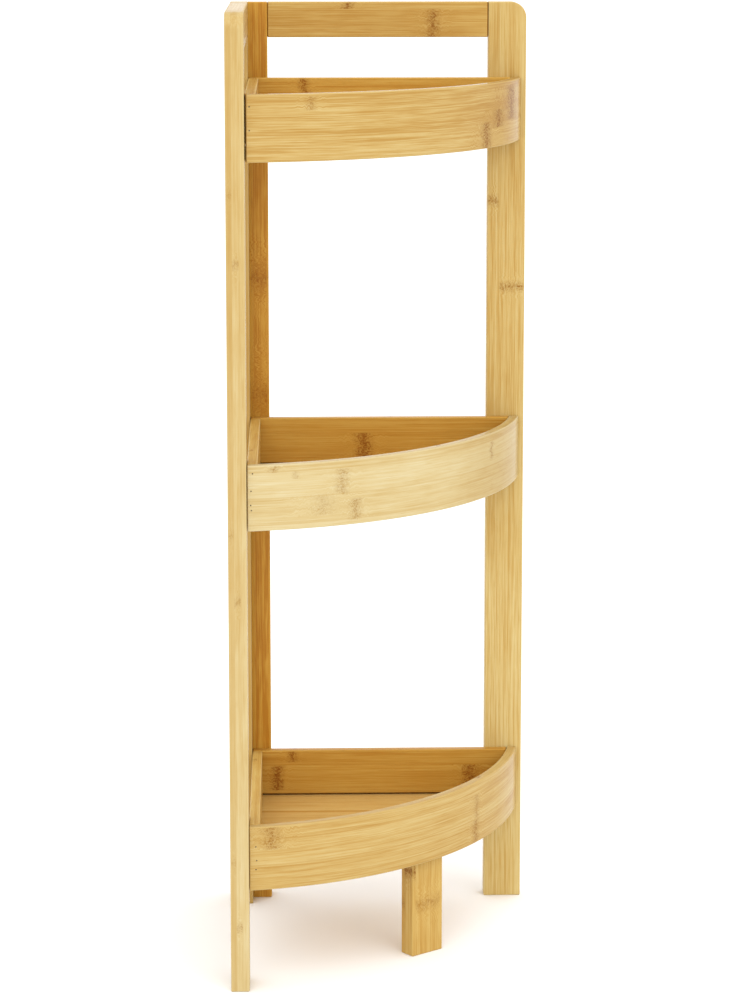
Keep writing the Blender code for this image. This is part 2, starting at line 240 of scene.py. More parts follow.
class Bench:
    """Makes shader nodes in one tree and wires them as they are made."""

    def __init__(self, tree):
        self.tree = tree

    def feed(self, socket, value):
        if isinstance(value, bpy.types.NodeSocket):
            self.tree.links.new(value, socket)
        else:
            socket.default_value = value

    def node(self, kind, inputs=None, **settings):
        made = self.tree.nodes.new("ShaderNode" + kind)
        for name, value in settings.items():
            setattr(made, name, value)
        for key, value in (inputs or {}).items():
            self.feed(made.inputs[key], value)
        return made

    def math(self, operation, *values):
        made = self.node("Math", operation=operation)
        for socket, value in zip(made.inputs, values):
            self.feed(socket, value)
        return made.outputs[0]

    def chain(self, operation, total, *rest):
        for value in rest:
            total = self.math(operation, total, value)
        return total

    def plus(self, *values):
        return self.chain("ADD", *values)

    def times(self, *values):
        return self.chain("MULTIPLY", *values)

    def least(self, *values):
        return self.chain("MINIMUM", *values)

    def most(self, *values):
        return self.chain("MAXIMUM", *values)

    def minus(self, first, second):
        return self.math("SUBTRACT", first, second)

    def clamp(self, value):
        return self.node("Clamp", {"Value": value}).outputs[0]

    def combine(self, x, y, z):
        return self.node("CombineXYZ", {"X": x, "Y": y, "Z": z}).outputs[0]

    def stretched(self, point, scales, seed=0.0):
        """A pattern's place: the point's three parts, each times its own scale, slid by the seed."""
        x, y, z = (self.times(part, scale) for part, scale in zip(point, scales))
        return self.combine(self.plus(x, seed), y, z)

    def split(self, vector):
        return self.node("SeparateXYZ", {"Vector": vector}).outputs

    def noise(self, vector, detail=2.0, roughness=0.5, scale=1.0):
        inputs = {"Vector": vector, "Scale": scale, "Detail": detail, "Roughness": roughness}
        return self.node("TexNoise", inputs, noise_dimensions="3D").outputs[0]

    def random(self, x, y, z):
        place = self.combine(x, y, z)
        return self.node("TexWhiteNoise", {"Vector": place}, noise_dimensions="3D").outputs

    def ramp(self, value, low, high, start=0.0, end=1.0):
        """Smooth step of value from low to high, giving start to end."""
        inputs = {"Value": value, "From Min": low, "From Max": high, "To Min": start, "To Max": end}
        return self.node("MapRange", inputs, interpolation_type="SMOOTHSTEP").outputs[0]

    def fall(self, value, low, high):
        """Smooth step down, from one at low to nought at high."""
        return self.ramp(value, low, high, 1.0, 0.0)

    def swing(self, value, amount):
        """Value that runs about a half, as a swing about nought."""
        return self.times(self.minus(value, 0.5), amount)

    def from_side(self, here, whole):
        """How far here is from the nearer of nought and whole."""
        return self.least(here, self.minus(whole, here))

    def blend(self, share, first, second, mode="MIX"):
        made = self.node("Mix", data_type="RGBA", blend_type=mode)
        self.feed(made.inputs[0], share)
        self.feed(made.inputs[6], first)
        self.feed(made.inputs[7], second)
        return made.outputs[2]

    def group(self, tree, inputs):
        """The outputs of a shared group, given its inputs by name."""
        return self.node("Group", inputs, node_tree=tree).outputs

    def smudge(self, place, scale, low, high):
        """The shared cloudy change, from low to high."""
        inputs = {"Place": place, "Scale": scale, "Low": low, "High": high}
        return self.group(shared_group("smudge"), inputs)["Value"]

    def bump(self, height, distance):
        inputs = {"Height": height, "Distance": distance, "Strength": 1.0}
        return self.node("Bump", inputs).outputs["Normal"]


def socket_kind(default):
    """The kind of socket that a default needs: a number, three parts of a place, or a colour."""
    if not isinstance(default, tuple):
        return "NodeSocketFloat"
    return "NodeSocketVector" if len(default) == 3 else "NodeSocketColor"


def node_group(name, inputs, outputs):
    """An empty shader group with named sockets, its bench, its inputs and its outputs.

    Both inputs and outputs are named with a default, which says what kind of socket each is.
    """
    tree = bpy.data.node_groups.new(name, "ShaderNodeTree")
    for way, sockets in (("INPUT", inputs), ("OUTPUT", outputs)):
        for label, default in sockets.items():
            made = tree.interface.new_socket(label, in_out=way, socket_type=socket_kind(default))
            made.default_value = default
    source = tree.nodes.new("NodeGroupInput")
    sink = tree.nodes.new("NodeGroupOutput")
    return tree, Bench(tree), source.outputs, sink.inputs


NOWHERE = (0.0, 0.0, 0.0)
BLACK = (0.0, 0.0, 0.0, 1.0)
JOINT_FIGURE = {"Mark": 0.0, "Wave": 0.0, "Fleck": 0.0}


def knuckle_figure_group():
    """The figure of one bamboo joint: dark dashes about its line, and fibres that wave round it."""
    tree, bench, source, sink = node_group(
        "Knuckle figure",
        {
            "Grain": NOWHERE, "Distance": 0.0, "Inside": 1.0,
            "Length": 0.007, "Strength": 1.0, "Seed": 0.0,
        },
        JOINT_FIGURE)
    along, across, depth = bench.split(source["Grain"])
    seed = source["Seed"]
    bend = bench.noise(bench.stretched((0.0, across, depth), (0.0, 170.0, 170.0), seed), 2.0)
    distance = bench.plus(source["Distance"], bench.swing(bend, 0.009))
    reach = bench.math("ABSOLUTE", distance)
    length = source["Length"]
    band = bench.fall(reach, 0.0, length)
    core = bench.fall(reach, 0.0, bench.times(length, 0.28))
    ripple_place = bench.stretched((along, across, depth), (300.0, 110.0, 110.0), seed)
    ripple = bench.swing(bench.noise(ripple_place, 1.0), 0.008)
    rippled = (along, bench.plus(across, ripple), bench.plus(depth, ripple))
    dash_noise = bench.noise(bench.stretched(rippled, (360.0, 900.0, 900.0), seed), 1.0)
    dashes = bench.ramp(dash_noise, 0.47, 0.62)
    flecks = bench.fall(dash_noise, 0.3, 0.43)
    shade = bench.plus(
        bench.times(band, dashes, 0.95),
        bench.times(core, 0.3),
        bench.times(band, 0.36))
    inside, strength = source["Inside"], source["Strength"]
    bench.feed(sink["Mark"], bench.clamp(bench.times(shade, inside, strength)))
    halo = bench.fall(bench.math("ABSOLUTE", source["Distance"]), 0.0, bench.times(length, 2.6))
    bench.feed(sink["Fleck"], bench.times(flecks, halo, inside, strength))
    bench.feed(sink["Wave"], bench.times(ripple, halo, inside, bench.times(length, 140.0)))
    return tree


def knuckle_group(figure):
    """One bamboo joint at a given place in a board's front ply."""
    tree, bench, source, sink = node_group(
        "Knuckle",
        {
            "Grain": NOWHERE, "Along": 0.1, "Across": 0.01, "Half Width": 0.01, "Ply": 0.005,
            "Length": 0.007, "Strength": 1.0, "Seed": 0.0,
        },
        JOINT_FIGURE)
    along, across, depth = bench.split(source["Grain"])
    aside = bench.math("ABSOLUTE", bench.minus(across, source["Across"]))
    half = source["Half Width"]
    inside = bench.fall(aside, bench.times(half, 0.86), bench.times(half, 1.1))
    in_ply = bench.math("LESS_THAN", depth, source["Ply"])
    values = {label: source[label] for label in ("Grain", "Length", "Strength", "Seed")}
    values["Distance"] = bench.minus(along, source["Along"])
    values["Inside"] = bench.times(inside, in_ply)
    made = bench.group(figure, values)
    for label in JOINT_FIGURE:
        bench.feed(sink[label], made[label])
    return tree


def bamboo_group(figure):
    """Laminated bamboo: plies and strips of differing tone, streaks, fibres, pores and joints."""
    tree, bench, source, sink = node_group(
        "Bamboo",
        {
            "Grain": NOWHERE, "Wave": 0.0, "Mark": 0.0, "Fleck": 0.0, "Seed": 0.0,
            "Pale": (0.8, 0.6, 0.3, 1.0), "Body": (0.7, 0.5, 0.2, 1.0),
            "Dark": (0.5, 0.3, 0.1, 1.0), "Knuckle": (0.2, 0.1, 0.02, 1.0),
            "Strip Width": 0.022, "Strip Shift": 0.0, "Ply": 0.0052,
            "Contrast": 0.35, "Streaks": 0.9, "Blotches": 0.3, "Joints": 0.6,
            "Seam": 0.42, "Seam Width": 0.0006,
        },
        {"Color": BLACK, "Height": 0.0, "Roughness": 0.0})
    along, across, depth = bench.split(source["Grain"])
    seed = source["Seed"]
    ply_place = bench.math("DIVIDE", bench.plus(depth, 0.0002), source["Ply"])
    ply = bench.math("FLOOR", ply_place)
    shifted = bench.math("DIVIDE", bench.plus(across, source["Strip Shift"]), source["Strip Width"])
    strip_place = bench.plus(shifted, bench.times(ply, 0.37))
    strip = bench.math("FLOOR", strip_place)
    chance = bench.random(strip, ply, seed)
    tone_chance, more = chance[0], bench.split(chance[1])

    # Joints that fall by chance in the plies behind the front one, one to each strip's spacing
    spacing = 0.27
    turn = bench.plus(bench.math("DIVIDE", along, spacing), more[1])
    joint = bench.group(figure, {
        "Grain": source["Grain"],
        "Distance": bench.swing(bench.math("FRACT", turn), spacing),
        "Inside": bench.math("GREATER_THAN", ply, 0.5),
        "Strength": source["Joints"],
        "Seed": bench.times(more[2], 19.0),
    })
    mark = bench.most(source["Mark"], joint["Mark"])

    drift_place = bench.stretched((along, across, depth), (11.0, 30.0, 30.0), seed)
    drift = bench.swing(bench.noise(drift_place, 1.0), 0.0016)
    waved = bench.plus(across, drift, source["Wave"], joint["Wave"])
    deep = bench.plus(depth, bench.times(joint["Wave"], 0.7))
    slid = bench.plus(along, bench.times(more[0], 7.3), seed)

    def fibres(length, width, detail, roughness=0.6):
        """Noise drawn out along the grain: length and width are how fast it changes each way."""
        place = bench.stretched((slid, waved, deep), (length, width, width))
        return bench.noise(place, detail, roughness)

    streak = fibres(8.0, 560.0, 3.0, 0.65)
    fine = fibres(30.0, 1500.0, 2.0)
    broad = fibres(4.0, 110.0, 2.0)
    lines = bench.ramp(fibres(9.0, 800.0, 1.0), 0.6, 0.72)
    blotch = fibres(24.0, 55.0, 2.0)
    pores = bench.ramp(fibres(75.0, 1900.0, 0.0), 0.62, 0.8)

    tone = bench.plus(
        0.5,
        bench.swing(tone_chance, source["Contrast"]),
        bench.times(bench.swing(streak, 2.3), source["Streaks"]),
        bench.times(bench.swing(fine, 1.7), source["Streaks"]),
        bench.times(bench.swing(broad, 1.3), source["Streaks"]),
        bench.times(bench.swing(blotch, 1.3), source["Blotches"]))
    lower = bench.clamp(bench.times(tone, 2.0))
    upper = bench.clamp(bench.minus(bench.times(tone, 2.0), 1.0))
    colour = bench.blend(upper, bench.blend(lower, source["Dark"], source["Body"]), source["Pale"])
    colour = bench.blend(bench.times(pores, 0.35), colour, source["Dark"])
    lined = bench.times(lines, source["Streaks"], 0.45)
    colour = bench.blend(bench.clamp(lined), colour, source["Dark"])
    colour = bench.blend(bench.times(source["Fleck"], 0.7), colour, source["Pale"])
    colour = bench.blend(mark, colour, source["Knuckle"])

    # Glue lines between strips and between plies
    strip_edge = bench.times(bench.from_side(bench.math("FRACT", strip_place), 1.0), source["Strip Width"])
    ply_edge = bench.times(bench.from_side(bench.math("FRACT", ply_place), 1.0), source["Ply"])
    # A wide seam is wide only on the face; down the board's edge it is half a millimetre at most
    seam_width = bench.least(source["Seam Width"], bench.ramp(depth, 0.001, 0.0012, 1.0, 0.0005))
    strip_seam = bench.fall(strip_edge, bench.times(seam_width, 0.5), seam_width)
    # The front face lies on a ply's edge, so the glue line between plies starts a little below it
    buried = bench.ramp(depth, 0.0008, 0.0014)
    ply_seam = bench.times(bench.fall(ply_edge, 0.00005, 0.0003), buried)
    seam = bench.most(strip_seam, bench.times(ply_seam, 0.6))
    colour = bench.blend(bench.times(seam, source["Seam"]), colour, source["Dark"])
    bench.feed(sink["Color"], colour)

    height = bench.plus(
        bench.times(fine, 0.55),
        bench.times(streak, 0.3),
        bench.times(pores, -0.45),
        bench.times(mark, -0.35),
        bench.times(seam, -0.6))
    bench.feed(sink["Height"], height)
    rough = bench.plus(
        0.4,
        bench.times(fine, 0.1),
        bench.times(pores, 0.12),
        bench.times(mark, 0.1),
        bench.times(blotch, 0.06))
    bench.feed(sink["Roughness"], rough)
    return tree


def worn_highlit_edge_group():
    """Where a board's long and short edges are paler: real rubbed wear, and a painted highlight along the
    rims. Found from the distance to its faces.
    """
    tree, bench, source, sink = node_group(
        "Edge wear",
        {"Grain": NOWHERE, "Size": (1.0, 0.03, 0.015), "Reach": 0.0016, "Seed": 0.0},
        {"Wear": 0.0})
    place = bench.split(source["Grain"])
    size = bench.split(source["Size"])
    first, second, third = (bench.from_side(here, whole) for here, whole in zip(place, size))
    # The second least of the three: small only where two faces meet
    low = bench.least(first, second)
    high = bench.most(first, second)
    edge = bench.most(low, bench.least(high, third))
    ragged = bench.noise(bench.stretched(place, (55.0, 160.0, 160.0), source["Seed"]), 3.0, 0.6)
    reach = bench.times(source["Reach"], bench.plus(ragged, 0.5))
    bench.feed(sink["Wear"], bench.fall(edge, bench.times(reach, 0.25), reach))
    return tree


def joint_painted_shade_group():
    """Painted shade where a board's end meets its neighbour, and on the packing strip in the slot above a
    floor.
    """
    tree, bench, source, sink = node_group(
        "Joint dirt",
        {"Grain": NOWHERE, "Length": 1.0, "Ends": 0.0, "Slot": 0.0, "Seed": 0.0},
        {"Dirt": 0.0})
    along, across, depth = bench.split(source["Grain"])
    from_end = bench.from_side(along, source["Length"])
    shade_noise = bench.noise(bench.stretched((along, across, depth), (90.0, 90.0, 90.0), source["Seed"]), 2.0)
    reach = bench.plus(bench.times(shade_noise, 0.0012), 0.0005)
    # Darker near each end: painted shade in the joint
    ends = bench.times(bench.fall(from_end, bench.times(reach, 0.4), reach), source["Ends"])
    # Darker on the packing strip, which rises above the floor's face into the slot under the rails:
    # painted shade
    slot = bench.times(bench.math("LESS_THAN", depth, -0.0002), source["Slot"])
    bench.feed(sink["Dirt"], bench.clamp(bench.most(ends, slot)))
    return tree


def smudge_group():
    """Faint cloudy change in gloss, as on handled lacquer or plain steel."""
    tree, bench, source, sink = node_group(
        "Smudge",
        {"Place": NOWHERE, "Scale": 40.0, "Low": 0.0, "High": 0.1},
        {"Value": 0.0})
    cloud = bench.noise(source["Place"], 3.0, 0.6, source["Scale"])
    bench.feed(sink["Value"], bench.ramp(cloud, 0.3, 0.7, source["Low"], source["High"]))
    return tree


GROUPS = {}


def shared_group(name):
    """A shared node group, built the first time it is asked for."""
    if not GROUPS:
        figure = knuckle_figure_group()
        GROUPS["knuckle"] = knuckle_group(figure)
        GROUPS["bamboo"] = bamboo_group(figure)
        GROUPS["edge wear"] = worn_highlit_edge_group()
        GROUPS["joint dirt"] = joint_painted_shade_group()
        GROUPS["smudge"] = smudge_group()
    return GROUPS[name]


# ---------------------------------------------------------------- materials

def tinted(tone, factors):
    """A colour whose channels are each taken times a factor, up to full."""
    return tuple(min(1.0, channel * factor) for channel, factor in zip(tone, factors))


def new_material(name):
    """An empty material, with its bench and its shader's inputs."""
    material = bpy.data.materials.new(name)
    material.use_nodes = True
    return material, Bench(material.node_tree), material.node_tree.nodes["Principled BSDF"].inputs


def knuckles_of(look, bench, grain, ply):
    """The dark mark, the wave and the pale flecks of all the joints in a board's front ply."""
    mark, wave, fleck = 0.0, 0.0, 0.0
    for number, (along, across, half, reach, dark, *deep) in enumerate(look.get("knuckles", ())):
        made = bench.group(shared_group("knuckle"), {
            "Grain": grain, "Along": along, "Across": across, "Half Width": half,
            "Ply": deep[0] if deep else ply, "Length": reach, "Strength": dark,
            "Seed": look["seed"] * 3.1 + number * 7.7,
        })
        mark = bench.most(mark, made["Mark"])
        wave = bench.plus(wave, made["Wave"])
        fleck = bench.most(fleck, made["Fleck"])
    return mark, wave, fleck


def bamboo_material(name, size, look):
    """Bamboo for one board. size is its length, width and thickness; look its own grain.

    A look's knuckles are joints in the front ply: how far along and across the board each is, half
    its width, its length along the grain, its strength and, where it goes deeper, its depth.
    """
    timber = bpy.context.scene.caddy_timber
    material, bench, shader = new_material(name)
    grain = bench.node("Attribute", attribute_name="grain").outputs["Vector"]
    seed = look["seed"]
    # A little over an even share, so the last ply runs out past the back face
    ply = size[2] / look.get("plies", 3) * 1.04
    mark, wave, fleck = knuckles_of(look, bench, grain, ply)
    plain = tinted(getattr(timber, look["tone"]), look.get("tint", (1.0, 1.0, 1.0)))
    body = (*plain, 1.0)
    pale = (*tinted(plain, (1.1, 1.22, 1.52)), 1.0)
    dark = (*tinted(plain, (0.84, 0.72, 0.5)), 1.0)
    stain = (*tinted(plain, timber.knuckle), 1.0)
    seam, seam_width = look.get("seam", (0.42, 0.0006))
    bamboo = bench.group(shared_group("bamboo"), {
        "Grain": grain, "Wave": wave, "Mark": mark, "Fleck": fleck, "Seed": seed,
        "Pale": pale, "Body": body, "Dark": dark, "Knuckle": stain,
        "Strip Width": look.get("strip", 0.022), "Strip Shift": look.get("shift", 0.0), "Ply": ply,
        "Contrast": look.get("contrast", 0.35),
        "Streaks": timber.streaks * look.get("streaks", 1.0),
        "Blotches": look.get("blotches", 0.3), "Joints": look.get("joints", 0.6),
        "Seam": seam, "Seam Width": seam_width,
    })
    wear = bench.group(shared_group("edge wear"), {"Grain": grain, "Size": size, "Seed": seed})["Wear"]
    worn_highlit_share = bench.times(wear, look.get("wear", 0.45))
    colour = bamboo["Color"]
    if "fade" in look:
        # The board grows slowly lighter or darker towards one end. On the uprights this is painted light:
        # paler towards the foot, as if lit from the pale floor. On the curved rails it is the bamboo's own
        # darker tone
        start, end, change = look["fade"]
        along = bench.split(grain)[0]
        from_value, to_value = float(start > end), float(start < end)
        faded = bench.ramp(along, min(start, end), max(start, end), from_value, to_value)
        colour = bench.blend(faded, colour, bench.blend(1.0, colour, (*change, 1.0), "MULTIPLY"))
    # Paler edges: real rubbed wear, and a painted highlight along the rims
    colour = bench.blend(worn_highlit_share, colour, pale)
    ends, slot = look.get("dirt", (0.0, 0.0))
    dirt = bench.group(shared_group("joint dirt"), {
        "Grain": grain, "Length": size[0], "Ends": ends, "Slot": slot, "Seed": seed,
    })["Dirt"]
    # Painted shade at the joints and in the slot, in the knuckle stain's colour
    bench.feed(shader["Base Color"], bench.blend(dirt, colour, stain))
    smudge = bench.smudge(grain, 26.0, -0.03, 0.05)
    bench.feed(
        shader["Roughness"],
        bench.plus(bamboo["Roughness"], smudge, bench.times(worn_highlit_share, 0.1)))
    bench.feed(shader["Normal"], bench.bump(bamboo["Height"], timber.relief))
    # The lacquer shines most at a glancing angle, and is dull on the rubbed edges and where shade is
    # painted at the joints and in the slot
    coat_left = bench.minus(1.0, bench.most(dirt, bench.times(wear, 0.85)))
    facing = bench.node("LayerWeight", {"Blend": 0.5}).outputs["Facing"]
    gloss = bench.ramp(facing, 0.62, 1.0, timber.lacquer, look.get("sheen", 0.5))
    bench.feed(shader["Coat Weight"], bench.times(gloss, coat_left))
    shader["Coat Roughness"].default_value = 0.2
    shader["Specular IOR Level"].default_value = 0.12
    material.diffuse_color = body
    return material


def steel_material(name, plain, roughness):
    """Plain steel with turning marks and dull patches."""
    material, bench, shader = new_material(name)
    grain = bench.node("Attribute", attribute_name="grain").outputs["Vector"]
    out, depth, turn = bench.split(grain)
    rings = bench.noise(bench.combine(bench.times(out, 9000.0), depth, turn), 2.0)
    smudge = bench.smudge(grain, 900.0, -0.05, 0.16)
    dull = bench.ramp(smudge, 0.02, 0.16)
    dark = tinted(plain, (0.55, 0.55, 0.55))
    bench.feed(shader["Base Color"], bench.blend(bench.times(dull, 0.6), (*plain, 1.0), (*dark, 1.0)))
    bench.feed(shader["Roughness"], bench.plus(roughness, smudge, bench.times(rings, 0.1)))
    bench.feed(shader["Normal"], bench.bump(rings, 0.00002))
    shader["Metallic"].default_value = 1.0
    material.diffuse_color = (*plain, 1.0)
    return material


# ---------------------------------------------------------------- shapes

def prism(outline, low, high, place):
    """Solid raised from a flat outline. place turns (across, up, height) into a point."""
    shape = bmesh.new()
    under = [shape.verts.new(place(a, b, low)) for a, b in outline]
    over = [shape.verts.new(place(a, b, high)) for a, b in outline]
    shape.faces.new(under[::-1])
    shape.faces.new(over)
    count = len(outline)
    for index in range(count):
        after = (index + 1) % count
        shape.faces.new((under[index], under[after], over[after], over[index]))
    bmesh.ops.recalc_face_normals(shape, faces=shape.faces)
    return shape


def round_edges(shape):
    """Ease every edge that turns by more than 40 degrees to a small round."""
    radius = bpy.context.scene.caddy_timber.edge_round
    sharp = [edge for edge in shape.edges if edge.calc_face_angle(0) > math.radians(40)]
    bmesh.ops.bevel(
        shape, geom=sharp, offset=radius, offset_type="OFFSET", segments=3, profile=0.5,
        affect="EDGES", clamp_overlap=True)


def add_tenon(shape, direction):
    """Raise a stub tenon, with a shoulder all round, from the end that looks along direction."""
    end = max(shape.faces, key=lambda face: face.normal.dot(direction) * face.calc_area())
    bmesh.ops.inset_individual(shape, faces=[end], thickness=TENON_SHOULDER, use_even_offset=True)
    raised = bmesh.ops.extrude_discrete_faces(shape, faces=[end])
    tip = raised["faces"][0]
    bmesh.ops.translate(shape, verts=tip.verts, vec=direction * TENON_LENGTH)


def circle(radius, sides):
    """Points round a circle, as (x, y) pairs."""
    points = []
    for side in range(sides):
        turn = 2 * math.pi * side / sides
        points.append((radius * math.cos(turn), radius * math.sin(turn)))
    return points


def turned(profile, sides):
    """Solid of revolution about Z from (radius, z) pairs that start and end on the axis."""
    shape = bmesh.new()
    rings = []
    for radius, z in profile:
        if radius == 0:
            rings.append([shape.verts.new((0, 0, z))])
        else:
            rings.append([shape.verts.new((x, y, z)) for x, y in circle(radius, sides)])
    for below, above in zip(rings, rings[1:]):
        for side in range(sides):
            after = (side + 1) % sides
            loop = [below[side % len(below)], below[after % len(below)]]
            loop += [above[after % len(above)], above[side % len(above)]]
            shape.faces.new(list(dict.fromkeys(loop)))
    bmesh.ops.recalc_face_normals(shape, faces=shape.faces)
    return shape


def to_mesh(shape, name):
    """Mesh of a shape, which is freed."""
    mesh = bpy.data.meshes.new(name)
    shape.to_mesh(mesh)
    shape.free()
    return mesh


def to_object(data, name):
    """Object of a mesh, a light or a camera, put in the scene."""
    made = bpy.data.objects.new(name, data)
    bpy.context.scene.collection.objects.link(made)
    return made


def applied_mesh(made, name):
    """Mesh of an object with its modifiers applied."""
    graph = bpy.context.evaluated_depsgraph_get()
    mesh = bpy.data.meshes.new_from_object(made.evaluated_get(graph))
    mesh.name = name
    return mesh


def boolean(mesh, cutter_shape, name, operation="DIFFERENCE"):
    """Mesh with another shape cut out of it, or joined to it as one solid."""
    body = to_object(mesh, name + "_blank")
    cutter = to_object(to_mesh(cutter_shape, name + "_cutter"), name + "_cutter")
    modifier = body.modifiers.new("holes", "BOOLEAN")
    modifier.operation = operation
    modifier.solver = "EXACT"
    modifier.object = cutter
    result = applied_mesh(body, name)
    bpy.data.objects.remove(body, do_unlink=True)
    bpy.data.objects.remove(cutter, do_unlink=True)
    if not result.polygons:
        raise RuntimeError("cutting " + name + " left nothing")
    shape = bmesh.new()
    shape.from_mesh(result)
    bmesh.ops.remove_doubles(shape, verts=shape.verts, dist=CLEAN)
    bmesh.ops.triangulate(shape, faces=[face for face in shape.faces if len(face.verts) > 4])
    bmesh.ops.dissolve_degenerate(shape, dist=CLEAN, edges=shape.edges)
    shape.to_mesh(result)
    shape.free()
    return result


def write_grain(mesh, grain):
    """Store each point's place in the board: along, across and below its front face."""
    attribute = mesh.attributes.new("grain", "FLOAT_VECTOR", "POINT")
    for vertex in mesh.vertices:
        attribute.data[vertex.index].vector = grain(vertex.co)


def settle_normals(made):
    """Flat faces stay flat up to their rounded edges."""
    made.data.shade_smooth()
    made.data.set_sharp_from_angle(angle=math.radians(50))
    modifier = made.modifiers.new("flat_faces", "WEIGHTED_NORMAL")
    modifier.mode = "FACE_AREA"
    modifier.weight = 100
    modifier.keep_sharp = True


# ---------------------------------------------------------------- fasteners' places

class Fastener:
    """One screw or brad of the frame: where its head is, which way it goes in and how long it is."""

    def __init__(self, node):
        self.node = node
        low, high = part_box(node)
        sides = high - low
        axis = max(range(3), key=lambda index: sides[index])
        middle = (low + high) / 2
        spread = {}
        for end, value in (("low", low[axis]), ("high", high[axis])):
            near = []
            for vertex in frame["nodes"][node].data.vertices:
                if abs(vertex.co[axis] - value) < NEAR:
                    offset = vertex.co - middle
                    offset[axis] = 0
                    near.append(offset.length)
            spread[end] = max(near)
        # The head is the end that is wider
        head_low = spread["low"] > spread["high"]
        self.heading = Vector((0, 0, 0))
        self.heading[axis] = 1 if head_low else -1
        self.head = middle.copy()
        self.head[axis] = low[axis] if head_low else high[axis]
        self.length = sides[axis]
        self.is_screw = "screw" in node

    def matrix(self):
        """Turns and moves a fastener made with its head at nought and its point along Z."""
        turn = self.heading.to_track_quat("Z", "Y").to_matrix().to_4x4()
        return Matrix.Translation(self.head) @ turn

    def reaches(self, low, high):
        """True if the fastener passes through the box from low to high."""
        tip = self.head + self.heading * self.length
        for index in range(3):
            least, most = sorted((self.head[index], tip[index]))
            if most < low[index] - TOUCH or least > high[index] + TOUCH:
                return False
        return True


FASTENERS = [
    Fastener(node) for node in sorted(frame["nodes"]) if "_screw_" in node or "_brad_" in node
]


def hole_shape(fastener):
    """The hole that a fastener sits in, open above its head."""
    hardware = bpy.context.scene.caddy_hardware
    if fastener.is_screw:
        room, sides = 0.0003, 24
        head, shank, seat = hardware.screw_head, hardware.screw_shank, SCREW_SEAT
    else:
        room, sides = 0.00004, 16
        head, shank, seat = hardware.brad_head, BRAD_SHANK, BRAD_SEAT
    end = fastener.length + room
    shape = turned(
        [
            (0, -MOUTH), (head + room, -MOUTH), (head + room, seat * 0.15 + room),
            (shank + room, seat + room), (shank + room, end), (0, end),
        ],
        sides)
    bmesh.ops.transform(shape, matrix=fastener.matrix(), verts=shape.verts)
    return shape


def merge(target, extra):
    """Add the extra shape to target and free it."""
    mesh = to_mesh(extra, "merge")
    target.from_mesh(mesh)
    bpy.data.meshes.remove(mesh)


def board(node, shape, grain, size, look, pockets=()):
    """Make a board from its rounded shape: cut its holes, lay its grain and put it on the frame."""
    low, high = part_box(node)
    cutter = bmesh.new()
    for fastener in FASTENERS:
        if fastener.reaches(low, high):
            merge(cutter, hole_shape(fastener))
    for pocket in pockets:
        merge(cutter, pocket)
    name = node + "_bamboo"
    mesh = to_mesh(shape, name)
    if cutter.verts:
        mesh = boolean(mesh, cutter, name)
    else:
        cutter.free()
    write_grain(mesh, grain)
    made = to_object(mesh, name)
    mesh.materials.clear()
    mesh.materials.append(bamboo_material(name, size, look))
    settle_normals(made)
    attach(made, "root")
    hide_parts(node)
    return made


# ---------------------------------------------------------------- boards

def upright_outline(start, end, rounded):
    """An upright seen flat on, from start to end, its top corner at end rounded where asked."""
    if not rounded:
        return [(start, 0), (end, 0), (end, HEIGHT), (start, HEIGHT)]
    side = 1 if end > start else -1
    centre = (end - side * TOP_CORNER_RADIUS, HEIGHT - TOP_CORNER_RADIUS)
    points = [(start, 0), (end, 0)]
    for step in range(CORNER_STEPS + 1):
        turn = math.pi / 2 * step / CORNER_STEPS
        points.append((
            centre[0] + side * TOP_CORNER_RADIUS * math.cos(turn),
            centre[1] + TOP_CORNER_RADIUS * math.sin(turn),
        ))
    points.append((start, HEIGHT))
    return points


def mortise(place, start, end, low, high):
    """The pocket for a top rail's tenon, between start and end along the frame."""
    shoulder = TENON_SHOULDER + MORTISE_ROOM
    bottom = TOP_RAIL_LOW + shoulder
    top = HEIGHT - shoulder
    outline = [(start, bottom), (end, bottom), (end, top), (start, top)]
    return prism(outline, low + shoulder, high - shoulder, place)


def pocket_span(low, high, at_high):
    """Where the pocket starts and ends in an upright that spans low to high along the frame."""
    if at_high:
        return high - TENON_LENGTH - GAP, high + GAP
    return low - GAP, low + TENON_LENGTH + GAP


def left_place(a, b, c):
    """For outlines seen flat on the left frame."""
    return Vector((c, a, b))


def back_place(a, b, c):
    """For outlines seen flat on the back frame."""
    return Vector((a, c, b))


def plan_place(a, b, c):
    """For outlines seen from above."""
    return Vector((a, b, c))


def build_left_uprights():
    """The left frame's two uprights, which stand against the left wall."""
    looks = {
        "left_front_upright": {
            "slot": "bamboo_light", "tone": "light", "seed": 3.0, "strip": 0.0165, "shift": 0.004,
            "contrast": 0.3, "blotches": 0.5, "joints": 0.35, "streaks": 0.5, "sheen": 0.3,
            # Paler towards the foot: painted light from the floor
            "fade": (0.78, 0.05, (1.06, 1.15, 1.4)),
        },
        "left_rear_upright": {
            "slot": "bamboo_honey", "tone": "honey", "seed": 11.0, "strip": 0.0165,
            "contrast": 0.4, "joints": 0.5, "sheen": 0.3,
        },
    }
    for node, look in looks.items():
        low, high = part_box(node)
        front = node == "left_front_upright"
        outline = upright_outline(high.y, low.y, front)
        shape = prism(outline, low.x, high.x, left_place)
        round_edges(shape)
        pocket = mortise(left_place, *pocket_span(low.y, high.y, front), low.x, high.x)
        board(
            node, shape, lambda p: (p.z, p.y - low.y, high.x - p.x),
            (HEIGHT, UPRIGHT_WIDTH, STOCK), look, (pocket,))


